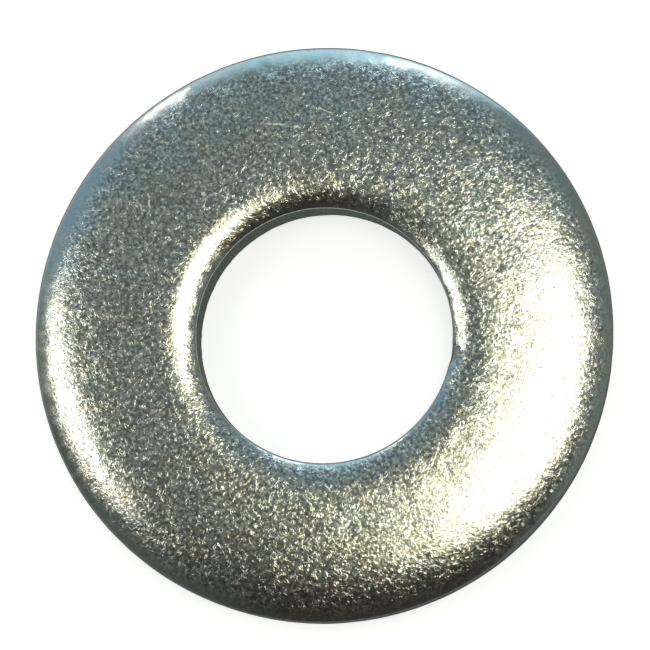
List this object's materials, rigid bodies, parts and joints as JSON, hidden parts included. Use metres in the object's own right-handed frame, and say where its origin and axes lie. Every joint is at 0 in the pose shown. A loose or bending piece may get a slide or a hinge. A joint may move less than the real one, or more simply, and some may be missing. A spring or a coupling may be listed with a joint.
{
  "type": "flat washer",
  "caption": "Plain round flat washer of zinc-plated steel with a central clearance hole; it spreads the load under a bolt head or nut.",
  "frame": {"origin": "the hole's axis at the lower bearing face, the burr side", "axes": "+Z along the hole's axis, out of the rolled face; X and Y are free, because the part is round"},
  "size_m": [0.0158, 0.0158, 0.0017],
  "materials": {
    "zinc_plate": "clear zinc plate on tumbled mild steel, fine-grained and semi-bright"
  },
  "bodies": {
    "root": {"washer": "zinc_plate"}
  },
  "joints": []
}
